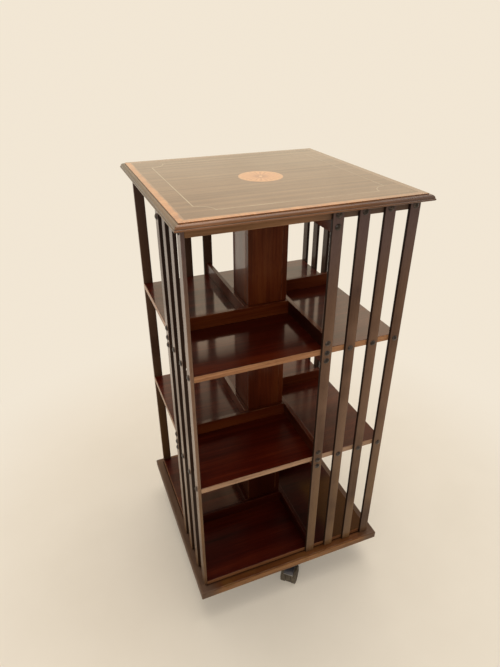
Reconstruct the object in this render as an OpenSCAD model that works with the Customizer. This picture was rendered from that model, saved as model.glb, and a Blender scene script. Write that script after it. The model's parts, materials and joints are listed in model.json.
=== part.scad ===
// Three-tier revolving bookcase in polished mahogany, with an inlaid top, slatted sides laid out as a
// pinwheel, a case that turns on a fixed iron post, and a cross stand on four twin-wheel castors.
// Millimetres. Origin on the floor under the post, +Z up, the front face looks along -Y.

/* [Top] */
// How far the flat, inlaid field of the top reaches past the carcase
top_reach = 11; // [2:1:30]
// Upright step under the arris of the field
edge_drop = 2; // [1:0.5:4]
// Flat quirk outside the step
edge_quirk = 2.5; // [1:0.5:5]
// Radius of the quarter round of the edge
edge_ovolo = 6; // [4:0.5:10]
// Radius of the bead under the quarter round
edge_bead = 2; // [1.5:0.25:4]
// How far the bead's centre sits back from the quarter round
edge_nick = 0.5; // [0:0.1:1]

/* [Inlay] */
// Thickness of the inlaid veneers
inlay_t = 1; // [0.6:0.1:2]
// Width of the crossbanding round the field
crossband_w = 13; // [8:1:30]
// Distance of the stringing line from the edge of the field
string_inset = 44; // [30:1:80]
// Width of the stringing line
string_w = 1.8; // [1:0.1:4]
// Radius of the hollow corners of the stringing
string_corner_r = 30; // [15:1:50]
// Diameter of the round patera in the middle
patera_d = 90; // [50:1:140]
// Glue line left between pieces that butt in one group
joint_gap = 0.1; // [0.05:0.05:0.3]

/* [Carcase] */
// Width of the carcase over shelves and frieze
carcase_w = 438; // [420:1:450]
// Height of the frieze rails
frieze_h = 17; // [12:1:30]
// Thickness of the frieze rails
frieze_t = 16; // [10:1:22]
// Clear height of the upper tier, up to the frieze
tier_upper = 261; // [200:1:320]
// Clear height of the middle tier
tier_middle = 268; // [200:1:320]
// Clear height of the lower tier
tier_lower = 293; // [220:1:340]
// Thickness of the two shelves
shelf_t = 14; // [10:0.5:20]
// Thickness of the bottom shelf on the base board
floor_t = 11; // [8:0.5:18]

/* [Column] */
// Outside width of the hollow middle column
column_w = 90; // [80:1:120]
// Thickness of the column boards
column_board_t = 12; // [8:0.5:14]

/* [Rails] */
// Thickness of the book rails
rail_t = 10; // [6:0.5:14]
// Height of the stop rails above each shelf
stop_h = 30; // [20:1:50]
// Depth of the bearer rails below each shelf
bearer_h = 22; // [12:1:40]
// How far the top rails hang below the frieze
top_rail_drop = 26; // [12:1:40]

/* [Slats] */
// Number of slats on each face
slats_per_face = 4; // [3:1:5]
// Width of a slat
slat_w = 22.5; // [14:0.5:28]
// Thickness of a slat
slat_t = 7; // [5:0.5:10]
// Radius of the front arrises of a slat
slat_round = 1.5; // [0.5:0.25:2.5]
// Diameter of the turned buttons that cover the slat screws
button_d = 12; // [8:0.5:14]
// Height of a button's dome
button_h = 3.5; // [2:0.25:5]

/* [Base board] */
// How far the base board reaches past the carcase
base_reach = 20; // [14:1:30]
// Thickness of the base board
base_t = 21; // [16:1:30]
// Radius of the base board's upper arris
base_round_top = 4; // [1:0.5:6]
// Radius of the base board's lower arris
base_round_bottom = 3; // [1:0.5:6]

/* [Stand] */
// Width of the arms of the cross stand
arm_w = 50; // [44:1:70]
// Thickness of the arms
arm_t = 27; // [24:1:45]
// Radius of the corners at the arm ends
arm_round = 12; // [4:1:18]
// Wood left outside a castor plate at the arm's end
arm_end = 1; // [0:0.5:4]
// Distance of the castor pivots from the post
castor_r = 200; // [170:1:217]
// Turn of the stand under the case, in degrees
stand_turn = 4; // [-45:0.5:45]
// Running gap between the stand and the base board
turn_gap = 4; // [2:0.5:8]

/* [Post and bearings] */
// Diameter of the fixed post
post_d = 30; // [24:1:36]
// Diameter of the journal at the post's top
journal_d = 18; // [12:1:20]
// Length of the journal above its shoulder
journal_l = 26; // [16:1:34]
// Diameter of the post's foot flange
flange_d = 100; // [84:1:110]
// Thickness of the foot flange, let in flush
flange_t = 5; // [4:0.5:8]
// Thickness of the thrust washer on the shoulder
thrust_t = 2; // [1:0.5:4]
// Diameter of the thrust washer
thrust_d = 34; // [30:1:38]
// Height of the wooden bearing block in the column's head
block_h = 50; // [40:1:70]
// Thickness of the iron bearing plate
bearing_plate_t = 6; // [4:0.5:10]
// Gap round the bearing plate inside the column
plate_gap = 0.5; // [0.2:0.1:0.8]
// Radial wall of the lower guide bush
bush_wall = 8; // [5:0.5:10]
// Reach of the bush's flange past its wall
bush_flange = 6; // [4:0.5:7]
// Thickness of the bush's flange
bush_flange_t = 4; // [3:0.5:6]
// Radial running clearance of journal, bush, stems and axles
run_fit = 0.05; // [0.02:0.01:0.1]

/* [Castors] */
// Height of a castor from floor to plate
castor_h = 58; // [56:1:68]
// Diameter of a castor wheel
wheel_d = 46; // [40:1:48]
// Width of one wheel
wheel_w = 13.5; // [9:0.5:14]
// Radius of the tread's edges
wheel_round = 3; // [1:0.5:4]
// Depth of the dish in a wheel's outer face
dish_depth = 2.5; // [1:0.25:4]
// Wall that closes a wheel's bore on the outside
wheel_cover = 3.5; // [2:0.25:5]
// Diameter of the axle
axle_d = 6; // [4:0.5:8]
// Wall of a wheel's hub round the axle
hub_wall = 4; // [3:0.5:5]
// Thickness of the web between the two wheels
web_t = 12; // [11:0.5:16]
// Gap between a wheel and the web
side_gap = 0.5; // [0.3:0.1:1]
// Gap between tread and hood
hood_gap = 1; // [0.6:0.1:2]
// Wall of the hood
hood_t = 2.5; // [2:0.25:4]
// How far the hood reaches over each wheel's tread
hood_cover = 5.5; // [3:0.5:8]
// Radius of the hood's outer edges
hood_round = 1.5; // [0.5:0.25:1.75]
// Height of the hood's rear rim above the axle
hood_lift = 2; // [0:0.5:6]
// Angle of the hood's front lip above the axle, in degrees
hood_lip = 36; // [10:1:60]
// Offset of the axle behind the swivel pivot
castor_trail = 12; // [11:0.5:18]
// Turns of the front, left, back and right castor from pointing straight outwards, in degrees
castor_turns = [-44, 180, -150, 160]; // [-180:1:180]
// Width of the square castor plate
plate_w = 36; // [34:1:40]
// Thickness of the castor plate
plate_t = 3; // [2:0.5:4]
// Metal left outside a castor screw's head
plate_edge = 1; // [0.5:0.25:1.5]
// Diameter of the swivel stem
stem_d = 7; // [6:0.5:8]
// Length of the swivel stem below the plate
stem_l = 22; // [16:0.5:24]
// Running gap between the plate and the swivel boss
swivel_gap = 0.3; // [0.2:0.1:0.6]

/* [Screws] */
// Diameter of the screw shanks
screw_d = 3.5; // [3:0.25:5]
// Diameter of the screw heads
screw_head_d = 6.5; // [5:0.25:8]
// Height of the screw heads
screw_head_h = 2; // [1.5:0.25:2.5]
// Depth of the screws in the wood
screw_bite = 14; // [8:1:20]

/* [Hidden] */
$fn = 48;
// How far a cutter reaches past the face it cuts
over = 1;
FACES = ["front", "left", "back", "right"];
SIDES = ["near", "far"];

mahogany = [0.36, 0.17, 0.09];
mahogany_edge = [0.55, 0.36, 0.23];
mahogany_slat = [0.40, 0.29, 0.22];
satinwood = [0.85, 0.56, 0.34];
boxwood = [0.86, 0.76, 0.58];
ebonised = [0.12, 0.11, 0.11];
iron = [0.24, 0.24, 0.26];
bronze = [0.55, 0.42, 0.22];
hood_grey = [0.20, 0.21, 0.24];
wheel_brown = [0.30, 0.26, 0.22];

// Levels, from the floor up
stand_top = castor_h + arm_t;
base_z = stand_top + turn_gap;
base_top = base_z + base_t;
floor_top = base_top + floor_t;
lower_z = floor_top + tier_lower;
lower_top = lower_z + shelf_t;
upper_z = lower_top + tier_middle;
upper_top = upper_z + shelf_t;
frieze_z = upper_top + tier_upper;
top_z = frieze_z + frieze_h;
top_t = edge_drop + edge_ovolo + 2 * edge_bead;
top_level = top_z + top_t;

// Plan sizes
half_w = carcase_w / 2;
top_field = carcase_w + 2 * top_reach;
column_half = column_w / 2;
column_bore = column_w - 2 * column_board_t;
base_half = half_w + base_reach;
edge_reach = edge_quirk + edge_ovolo - edge_nick + edge_bead;
top_half = top_field / 2 + edge_reach;
string_side = top_field - 2 * string_inset;
arm_half = castor_r + plate_w / 2 + arm_end;
flange_screw_r = (flange_d / 2 + arm_w / 2) / 2;
bearing_plate_w = column_bore - 2 * plate_gap;
bearing_screw_x = bearing_plate_w / 2 - screw_head_d;
plate_screw_x = plate_w / 2 - screw_head_d / 2 - plate_edge;

// Slat centres across a face: the first stands on the rail's end, the last is flush with the corner
slat_first = column_half + rail_t / 2;
slat_pitch = (half_w - slat_w / 2 - slat_first) / (slats_per_face - 1);
function slat_x(i) = slat_first + i * slat_pitch;

// Post
post_foot = stand_top - flange_t;
post_shoulder = top_z - block_h - bearing_plate_t - thrust_t;
bush_d = post_d + 2 * (run_fit + bush_wall);

// Castor, with the pivot at the origin and the axle trailing along -Y
wheel_r = wheel_d / 2;
hood_in = wheel_r + hood_gap;
hood_out = hood_in + hood_t;
wheel_start = web_t / 2 + side_gap;
castor_half = wheel_start + wheel_w;
hood_half = wheel_start + hood_cover;
boss_top = castor_h - plate_t - swivel_gap;
stem_bottom = castor_h - plate_t - stem_l;
hub_r = axle_d / 2 + hub_wall;

// Turns the children from the front face to face k, clockwise seen from above
module on_face(k) rotate([0, 0, -90 * k]) children();

// The same for the arms of the stand, which stands turned under the case
module on_arm(k) rotate([0, 0, stand_turn]) on_face(k) children();

// A block given by its two opposite corners
module block(low, high) translate(low) cube(high - low);

// Carries an upright section, drawn across X and up Z, along the whole depth Y
module along_y(half) rotate([90, 0, 0]) linear_extrude(2 * half, center = true) children();

// A square board whose four edges all have the section given as child, mitred at the corners
module moulded_board(half) {
    intersection() {
        along_y(half) children();
        rotate([0, 0, 90]) along_y(half) children();
    }
}

// Half of the top's section: field, step, quirk, quarter round and bead, drawn to the right of the middle
module top_half_section() {
    field = top_field / 2;
    round_x = field + edge_quirk;
    bead_x = round_x + edge_ovolo - edge_nick;
    square([field, top_t]);
    square([round_x, top_t - edge_drop]);
    translate([round_x, 2 * edge_bead]) intersection() {
        circle(edge_ovolo);
        square(edge_ovolo);
    }
    square([bead_x, 2 * edge_bead]);
    translate([bead_x, edge_bead]) circle(edge_bead);
}

module top_section() {
    top_half_section();
    mirror([1, 0]) top_half_section();
}

// A square line with hollow quarter-round corners, filled
module hollow_corner_square(side, corner_r) {
    difference() {
        square(side, center = true);
        for (x = [-1, 1], y = [-1, 1])
            translate([x, y] * string_side / 2) circle(corner_r);
    }
}

module string_line() {
    difference() {
        hollow_corner_square(string_side, string_corner_r);
        hollow_corner_square(string_side - 2 * string_w, string_corner_r + string_w);
    }
}

// One mitred strip of crossbanding along the front edge
module crossband_strip() {
    outer = top_field / 2;
    inner = outer - crossband_w;
    polygon([
        [-outer + joint_gap, -outer], [outer - joint_gap, -outer],
        [inner - joint_gap, -inner], [-inner + joint_gap, -inner]
    ]);
}

module at_inlay() translate([0, 0, top_level - inlay_t]) linear_extrude(inlay_t) children();

module top_board() {
    color(mahogany) difference() {
        translate([0, 0, top_z]) moulded_board(top_half) top_section();
        at_inlay() difference() {
            square(top_field, center = true);
            square(top_field - 2 * crossband_w, center = true);
        }
        at_inlay() string_line();
        at_inlay() circle(d = patera_d);
    }
}

module top_crossbanding() color(satinwood) for (k = [0:3]) on_face(k) at_inlay() crossband_strip();

module top_stringing() color(boxwood) at_inlay() string_line();

module top_patera() color(satinwood) at_inlay() circle(d = patera_d);

// One frieze rail; each butts against the next round the corner
module frieze(k) {
    color(mahogany_edge) on_face(k)
        block([-half_w, -half_w, frieze_z], [half_w - frieze_t, -half_w + frieze_t, top_z]);
}

// One board of the hollow column, butted in turn
module column_board(k) {
    color(mahogany) on_face(k) block(
        [-column_half, -column_half, base_top],
        [column_half - column_board_t, -column_half + column_board_t, top_z]
    );
}

// A square board with a hole for the column
module shelf_board(z, t) {
    color(mahogany) translate([0, 0, z]) difference() {
        translate([-half_w, -half_w, 0]) cube([carcase_w, carcase_w, t]);
        translate([-column_half, -column_half, -over]) cube([column_w, column_w, t + 2 * over]);
    }
}

// Four rails in a pinwheel: each runs from a face past the column and butts against the next
module rail_pinwheel(z0, z1) {
    color(mahogany) for (k = [0:3]) on_face(k)
        block([column_half, -half_w, z0], [column_half + rail_t, column_half - joint_gap, z1]);
}

// The rails under the top are notched over the frieze
module top_rails() {
    color(mahogany) difference() {
        rail_pinwheel(frieze_z - top_rail_drop, top_z);
        for (k = [0:3]) on_face(k)
            block([-half_w, -half_w, frieze_z], [half_w, -half_w + frieze_t, top_z]);
    }
}

module upper_stop_rails() rail_pinwheel(upper_top, upper_top + stop_h);

module upper_bearers() rail_pinwheel(upper_z - bearer_h, upper_z);

module lower_stop_rails() rail_pinwheel(lower_top, lower_top + stop_h);

module lower_bearers() rail_pinwheel(lower_z - bearer_h, lower_z);

module bottom_stop_rails() rail_pinwheel(floor_top, floor_top + stop_h);

// Plan of a slat on the front face, with its two front arrises rounded
module slat_plan() {
    back = -half_w;
    front = back - slat_t;
    translate([-slat_w / 2, front + slat_round]) square([slat_w, slat_t - slat_round]);
    translate([-slat_w / 2 + slat_round, front]) square([slat_w - 2 * slat_round, slat_t]);
    for (x = [-1, 1])
        translate([x * (slat_w / 2 - slat_round), front + slat_round]) circle(slat_round);
}

module slats(k) {
    color(mahogany_slat) on_face(k) for (i = [0:slats_per_face - 1])
        translate([slat_x(i), 0, base_top]) linear_extrude(top_z - base_top) slat_plan();
}

// A turned button: a spherical cap with a flat back
module button() {
    cap_r = (button_d * button_d / 4 + button_h * button_h) / (2 * button_h);
    rotate([90, 0, 0]) intersection() {
        translate([0, 0, button_h - cap_r]) sphere(cap_r);
        cylinder(d = button_d, h = button_h);
    }
}

// Heights of the buttons: where every slat crosses a board, and where the first one also holds the rails
every_slat_z = [frieze_z + frieze_h / 2, upper_z + shelf_t / 2, lower_z + shelf_t / 2];
first_slat_z = [
    frieze_z - top_rail_drop / 2,
    upper_top + stop_h / 2, upper_z - bearer_h / 2,
    lower_top + stop_h / 2, lower_z - bearer_h / 2
];

module slat_buttons() {
    color(ebonised) for (k = [0:3]) on_face(k) translate([0, -half_w - slat_t, 0]) {
        for (i = [0:slats_per_face - 1], z = every_slat_z) translate([slat_x(i), 0, z]) button();
        for (z = first_slat_z) translate([slat_x(0), 0, z]) button();
    }
}

// The base board's section: flat, with rounded upper and lower arrises
module base_section() {
    for (side = [0, 1]) mirror([side, 0]) {
        square([base_half - max(base_round_top, base_round_bottom), base_t]);
        translate([0, base_round_bottom])
            square([base_half, base_t - base_round_top - base_round_bottom]);
        translate([base_half - base_round_top, base_t - base_round_top]) circle(base_round_top);
        translate([base_half - base_round_bottom, base_round_bottom]) circle(base_round_bottom);
    }
}

module base_board() {
    color(mahogany) difference() {
        translate([0, 0, base_z]) moulded_board(base_half) base_section();
        translate([0, 0, base_z - over]) cylinder(d = bush_d, h = base_t + 2 * over);
    }
}

module guide_bush() {
    color(bronze) difference() {
        union() {
            translate([0, 0, base_z]) cylinder(d = bush_d, h = base_t);
            translate([0, 0, base_top]) cylinder(d = bush_d + 2 * bush_flange, h = bush_flange_t);
        }
        translate([0, 0, base_z - over])
            cylinder(d = post_d + 2 * run_fit, h = base_t + bush_flange_t + 2 * over);
    }
}

// Places the four bearing screws, heads down
module bearing_screw_places(z) {
    for (x = [-1, 1], y = [-1, 1]) translate([x * bearing_screw_x, y * bearing_screw_x, z]) children();
}

module bearing_block() {
    color(mahogany) difference() {
        translate([-column_bore / 2, -column_bore / 2, top_z - block_h])
            cube([column_bore, column_bore, block_h]);
        translate([0, 0, top_z - block_h - over]) cylinder(d = thrust_d, h = journal_l);
        bearing_screw_places(top_z - block_h - over) cylinder(d = screw_d, h = screw_bite + over);
    }
}

module bearing_plate() {
    color(iron) translate([0, 0, top_z - block_h - bearing_plate_t]) difference() {
        translate([-bearing_plate_w / 2, -bearing_plate_w / 2, 0])
            cube([bearing_plate_w, bearing_plate_w, bearing_plate_t]);
        translate([0, 0, -over]) cylinder(d = journal_d + 2 * run_fit, h = bearing_plate_t + 2 * over);
        bearing_screw_places(-over) cylinder(d = screw_d, h = bearing_plate_t + 2 * over);
    }
}

// A screw with its head below and its shank pointing up through a plate and into wood
module screw(plate) {
    translate([0, 0, -screw_head_h]) cylinder(d = screw_head_d, h = screw_head_h);
    cylinder(d = screw_d, h = plate + screw_bite);
}

module bearing_screws() {
    color(iron) bearing_screw_places(top_z - block_h - bearing_plate_t) screw(bearing_plate_t);
}

module center_post() {
    color(iron) {
        translate([0, 0, post_foot]) cylinder(d = post_d, h = post_shoulder - post_foot);
        translate([0, 0, post_shoulder]) cylinder(d = journal_d, h = journal_l);
    }
}

module thrust_washer() {
    color(bronze) translate([0, 0, post_shoulder]) difference() {
        cylinder(d = thrust_d, h = thrust_t);
        translate([0, 0, -over]) cylinder(d = journal_d, h = thrust_t + 2 * over);
    }
}

// Places the four flange screws along the arms, heads up and flush
module flange_screw_places() {
    for (k = [0:3]) on_arm(k) translate([0, -flange_screw_r, stand_top]) mirror([0, 0, 1]) children();
}

module flange_screws() {
    color(iron) flange_screw_places() {
        cylinder(d = screw_head_d, h = screw_head_h);
        cylinder(d = screw_d, h = flange_t + screw_bite);
    }
}

module post_flange() {
    color(iron) difference() {
        translate([0, 0, post_foot]) cylinder(d = flange_d, h = flange_t);
        translate([0, 0, post_foot - over]) cylinder(d = post_d, h = flange_t + 2 * over);
        flange_screw_places() {
            translate([0, 0, -over]) cylinder(d = screw_head_d, h = screw_head_h + over);
            cylinder(d = screw_d, h = flange_t + over);
        }
    }
}

// Plan of a stand arm along X, with rounded ends
module arm_plan() {
    square([2 * (arm_half - arm_round), arm_w], center = true);
    square([2 * arm_half, arm_w - 2 * arm_round], center = true);
    for (x = [-1, 1], y = [-1, 1])
        translate([x * (arm_half - arm_round), y * (arm_w / 2 - arm_round)]) circle(arm_round);
}

// A stand arm with its seats for the flange and all screws, before the halving joint is cut
module arm_blank(k) {
    difference() {
        translate([0, 0, castor_h]) on_arm(k) linear_extrude(arm_t) arm_plan();
        translate([0, 0, post_foot]) cylinder(d = flange_d, h = flange_t + over);
        flange_screw_places() cylinder(d = screw_d, h = flange_t + screw_bite);
        castor_screw_places() cylinder(d = screw_d, h = plate_t + screw_bite);
    }
}

// The halving joint: the arm along X keeps its lower half, the arm along Y its upper half
module halving(z) {
    on_arm(0) translate([-arm_w / 2, -arm_w / 2, z]) cube([arm_w, arm_w, arm_t / 2]);
}

module stand_arm_x() {
    color(mahogany) difference() {
        arm_blank(0);
        halving(castor_h + arm_t / 2);
    }
}

module stand_arm_y() {
    color(mahogany) difference() {
        arm_blank(1);
        halving(castor_h);
    }
}

// The pivot of castor k, square to its arm
module at_castor(k) on_arm(k) translate([0, -castor_r, 0]) children();

// The swivelling part of castor k, turned as it stands
module at_swivel(k) at_castor(k) rotate([0, 0, castor_turns[k]]) children();

// The axle of castor k, with X along the axle
module at_axle(k) at_swivel(k) translate([0, -castor_trail, wheel_r]) children();

module castor_screw_places() {
    for (k = [0:3]) at_castor(k) for (x = [-1, 1], y = [-1, 1])
        translate([x * plate_screw_x, y * plate_screw_x, castor_h - plate_t]) children();
}

module castor_screws() color(iron) castor_screw_places() screw(plate_t);

// A square plate, drilled for the stem and the screws
module castor_plate(k) {
    color(iron) difference() {
        at_castor(k) translate([-plate_w / 2, -plate_w / 2, castor_h - plate_t])
            cube([plate_w, plate_w, plate_t]);
        at_castor(k) translate([0, 0, castor_h - plate_t - over])
            cylinder(d = stem_d, h = plate_t + 2 * over);
        castor_screw_places() translate([0, 0, -over]) cylinder(d = screw_d, h = plate_t + 2 * over);
    }
}

// The swivel stems, riveted flush into the plates
module castor_stems() {
    color(iron) for (k = [0:3]) at_castor(k)
        translate([0, 0, stem_bottom]) cylinder(d = stem_d, h = stem_l + plate_t);
}

// Extrudes a section drawn with Y to the right and Z up, about the axle, along the axle
module along_axle(width) {
    rotate([90, 0, 90]) linear_extrude(width, center = true) children();
}

// Everything above the level of the hood's rear rim
module above_rim() translate([-hood_out - over, hood_lift]) square([2 * (hood_out + over), boss_top]);

// What the hood covers: from its front lip over the top to its rear rim
module hood_reach() {
    intersection() {
        above_rim();
        rotate(-hood_lip) above_rim();
    }
}

// The web: a disc inside the wheels, a full fan into the hood's wall, and the upright boss round the stem
module web_section() {
    circle(wheel_r - 2 * wheel_round);
    intersection() {
        circle(hood_in + hood_t / 2);
        hood_reach();
    }
    translate([castor_trail - web_t / 2, 0]) square([web_t, boss_top - wheel_r]);
}

// A drum round the axle whose two outer edges are rounded
module shoulder_drum(reach, half, edge_r) {
    rotate([0, 90, 0]) rotate_extrude() {
        translate([0, -half]) square([reach - edge_r, 2 * half]);
        translate([0, -half + edge_r]) square([reach, 2 * (half - edge_r)]);
        for (side = [-1, 1]) translate([reach - edge_r, side * (half - edge_r)]) circle(edge_r);
    }
}

// The hood arches over the inner part of both treads
module hood_shell() {
    intersection() {
        difference() {
            shoulder_drum(hood_out, hood_half, hood_round);
            rotate([0, 90, 0]) cylinder(r = hood_in, h = 2 * (hood_half + over), center = true);
        }
        along_axle(2 * (hood_half + over)) hood_reach();
    }
}

module castor_hood(k) {
    color(hood_grey) difference() {
        at_axle(k) {
            along_axle(web_t) web_section();
            hood_shell();
        }
        at_castor(k) translate([0, 0, stem_bottom - over]) cylinder(d = stem_d + 2 * run_fit, h = castor_h);
        at_axle(k) rotate([0, 90, 0]) cylinder(d = axle_d, h = 2 * web_t, center = true);
    }
}

module castor_axle(k) {
    length = 2 * (castor_half - wheel_cover - side_gap);
    color(iron) at_axle(k) rotate([0, 90, 0]) cylinder(d = axle_d, h = length, center = true);
}

// Half section of a wheel: tread with rounded edges, dished outer face, blind bore from the inside
module wheel_section() {
    rim = wheel_r - wheel_round;
    difference() {
        union() {
            square([rim, wheel_w]);
            translate([0, wheel_round]) square([wheel_r, wheel_w - 2 * wheel_round]);
            translate([rim, wheel_round]) circle(wheel_round);
            translate([rim, wheel_w - wheel_round]) circle(wheel_round);
        }
        translate([0, -over]) square([axle_d / 2 + run_fit, wheel_w - wheel_cover + over]);
        polygon([
            [hub_r, wheel_w + over], [hub_r, wheel_w - dish_depth],
            [rim - 2 * dish_depth, wheel_w - dish_depth], [rim - dish_depth, wheel_w + over]
        ]);
    }
}

module castor_wheel(k, side) {
    color(wheel_brown) at_axle(k) mirror([side, 0, 0])
        translate([wheel_start, 0, 0]) rotate([0, 90, 0]) rotate_extrude() wheel_section();
}

top_board();
top_crossbanding();
top_stringing();
top_patera();
for (k = [0:3]) frieze(k);
for (k = [0:3]) column_board(k);
shelf_board(upper_z, shelf_t);  // upper_shelf
shelf_board(lower_z, shelf_t);  // lower_shelf
shelf_board(base_top, floor_t);  // bottom_shelf
base_board();
top_rails();
upper_stop_rails();
upper_bearers();
lower_stop_rails();
lower_bearers();
bottom_stop_rails();
for (k = [0:3]) slats(k);
slat_buttons();
bearing_block();
bearing_plate();
bearing_screws();
guide_bush();
stand_arm_x();
stand_arm_y();
center_post();
post_flange();
flange_screws();
thrust_washer();
for (k = [0:3]) castor_plate(k);
castor_stems();
castor_screws();
for (k = [0:3]) castor_hood(k);
for (k = [0:3]) castor_axle(k);
for (k = [0:3], s = [0, 1])
    castor_wheel(k, s);
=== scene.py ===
import json
import math

import bpy
import numpy as np
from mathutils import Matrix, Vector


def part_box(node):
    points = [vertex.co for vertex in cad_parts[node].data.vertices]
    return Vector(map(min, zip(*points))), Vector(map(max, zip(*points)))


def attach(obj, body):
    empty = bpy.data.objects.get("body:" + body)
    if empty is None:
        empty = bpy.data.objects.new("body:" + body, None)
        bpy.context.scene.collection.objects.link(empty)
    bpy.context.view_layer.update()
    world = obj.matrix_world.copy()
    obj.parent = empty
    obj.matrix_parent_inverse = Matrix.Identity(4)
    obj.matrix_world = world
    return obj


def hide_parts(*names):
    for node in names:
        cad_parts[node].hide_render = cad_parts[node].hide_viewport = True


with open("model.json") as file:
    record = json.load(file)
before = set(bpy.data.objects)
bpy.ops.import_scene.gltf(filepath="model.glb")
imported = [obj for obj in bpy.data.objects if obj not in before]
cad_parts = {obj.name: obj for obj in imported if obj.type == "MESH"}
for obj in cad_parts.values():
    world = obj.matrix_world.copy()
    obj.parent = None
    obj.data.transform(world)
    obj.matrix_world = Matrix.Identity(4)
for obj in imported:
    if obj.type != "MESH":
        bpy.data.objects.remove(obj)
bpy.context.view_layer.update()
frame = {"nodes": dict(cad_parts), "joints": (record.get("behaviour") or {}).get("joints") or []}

# Lengths are in metres, colours are linear

MM = 0.001
X, Y, Z = range(3)
FACES = ("front", "left", "back", "right")
chance = np.random.default_rng(5)


# Sizes that the pieces share with their finishes

def node_box(node):
    """The lowest and the highest corner of a CAD node at rest."""
    return [np.array(corner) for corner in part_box(node)]


TOP_UNDER, TOP_LEVEL = (corner[Z] for corner in node_box("top_board"))
FIELD = node_box("top_crossbanding")[1][X]
BAND = 13.0 * MM
BEAD = 2.0 * MM
PATERA_R = node_box("top_patera")[1][X]
COLUMN = node_box("column_board_right")[1][X]
RAIL_T = 10.0 * MM
CASE = node_box("bottom_shelf")[1][X]


# Shader values

NOISE_ROUGH = 0.55


class Value:
    """A shader socket; arithmetic on it adds Math nodes to the tree it belongs to."""

    def __init__(self, tree, socket):
        self.tree = tree
        self.socket = socket

    def math(self, operation, a, b=0.0):
        return self.tree.node("ShaderNodeMath", {"operation": operation}, {0: a, 1: b})

    def __add__(self, other):
        return self.math("ADD", self, other)

    def __radd__(self, other):
        return self.math("ADD", other, self)

    def __sub__(self, other):
        return self.math("SUBTRACT", self, other)

    def __rsub__(self, other):
        return self.math("SUBTRACT", other, self)

    def __mul__(self, other):
        return self.math("MULTIPLY", self, other)

    def __rmul__(self, other):
        return self.math("MULTIPLY", other, self)

    def __truediv__(self, other):
        return self.math("DIVIDE", self, other)

    def __rtruediv__(self, other):
        return self.math("DIVIDE", other, self)

    def __abs__(self):
        return self.math("ABSOLUTE", self)

    def least(self, other):
        return self.math("MINIMUM", self, other)

    def most(self, other):
        return self.math("MAXIMUM", self, other)

    def fract(self):
        return self.math("FRACT", self)

    def ramp(self, low, high):
        """0 at and before low, 1 at and past high, smooth between; low may be the greater of the two."""
        return self.tree.node("ShaderNodeMapRange", {"interpolation_type": "SMOOTHSTEP"},
                              {"Value": self, "From Min": low, "From Max": high})


class Finish:
    """The node tree of one finish. node() adds any node; the other methods are short forms of it."""

    def __init__(self, tree):
        self.tree = tree
        tree.nodes.clear()

    def node(self, kind, settings=None, inputs=None, out=0):
        """A node of a kind, with its settings, then the values or links of its sockets; gives one output."""
        made = self.tree.nodes.new(kind)
        for key, value in (settings or {}).items():
            if key == "stops":
                self.set_stops(made.color_ramp, value)
            else:
                setattr(made, key, value)
        for key, value in (inputs or {}).items():
            socket = self.pick(made.inputs, key)
            if isinstance(value, Value):
                self.tree.links.new(value.socket, socket)
            else:
                socket.default_value = value
        return Value(self, self.pick(made.outputs, out)) if made.outputs else None

    @staticmethod
    def pick(sockets, key):
        if isinstance(key, int):
            return sockets[key]
        return next(s for s in sockets if key in (s.identifier, s.name))

    @staticmethod
    def set_stops(ramp, stops):
        while len(ramp.elements) < len(stops):
            ramp.elements.new(1.0)
        for element, (place, colour) in zip(ramp.elements, stops):
            element.position = place
            element.color = (*colour, 1.0)

    def attribute(self, name):
        return self.node("ShaderNodeAttribute", {"attribute_name": name}, out="Vector")

    def object_place(self):
        return self.node("ShaderNodeTexCoord", out="Object")

    def vector(self, operation, a, b=(0.0, 0.0, 0.0)):
        return self.node("ShaderNodeVectorMath", {"operation": operation}, {0: a, 1: b})

    def split(self, vector):
        return [self.node("ShaderNodeSeparateXYZ", inputs={0: vector}, out=axis) for axis in (X, Y, Z)]

    def join(self, x, y, z):
        return self.node("ShaderNodeCombineXYZ", inputs={0: x, 1: y, 2: z})

    def noise(self, vector, scale=1.0, detail=3.0):
        return self.node("ShaderNodeTexNoise", inputs={
            "Vector": vector, "Scale": scale, "Detail": detail, "Roughness": NOISE_ROUGH}, out="Fac")

    def blend(self, share, first, second):
        """Colours mixed by share; a colour is a Value or three numbers."""
        first, second = (c if isinstance(c, Value) else (*c, 1.0) for c in (first, second))
        return self.node("ShaderNodeMix", {"data_type": "RGBA"}, {
            "Factor_Float": share, "A_Color": first, "B_Color": second}, out="Result_Color")

    def ramp_colour(self, value, stops):
        return self.node("ShaderNodeValToRGB", {"stops": stops}, {0: value}, out="Color")

    def bump(self, height, strength, distance):
        return self.node("ShaderNodeBump", inputs={
            "Height": height, "Strength": strength, "Distance": distance})

    def surface(self, **sockets):
        """The principled surface and the output; socket names have _ for a space."""
        inputs = {name.replace("_", " "): value for name, value in sockets.items()}
        shader = self.node("ShaderNodeBsdfPrincipled", inputs=inputs)
        self.node("ShaderNodeOutputMaterial", inputs={"Surface": shader})


def new_finish(name):
    """A new material and its empty node tree."""
    material = bpy.data.materials.new(name)
    material.use_nodes = True
    return material, Finish(material.node_tree)


# Wood, its wear, and painted shade and light

TONE_PLACES = (0.34, 0.50, 0.68)
GRAIN_WANDER = 6.0 * MM
# the tone of the painted shade in the zones
NEAR_BLACK = (0.013, 0.0016, 0.0003)
# painted shade that greys the moulding towards the right
MOULDING_RIGHT_SHADE = (0.128, 0.092, 0.080)
SLAT_TOP = (0.1175, 0.0770, 0.0745)
SLAT_FOOT = (0.182, 0.093, 0.032)
# painted shade on a slat's inner face
SLAT_BACK_SHADE = (0.030, 0.0105, 0.0022)
# painted shade on a slat's narrow sides
SLAT_SIDE_SHADE = (0.010, 0.0035, 0.0020)
# painted shade in the crease beside the bottom shelf
CREASE_SHADE = (0.016, 0.0040, 0.0012)


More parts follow.
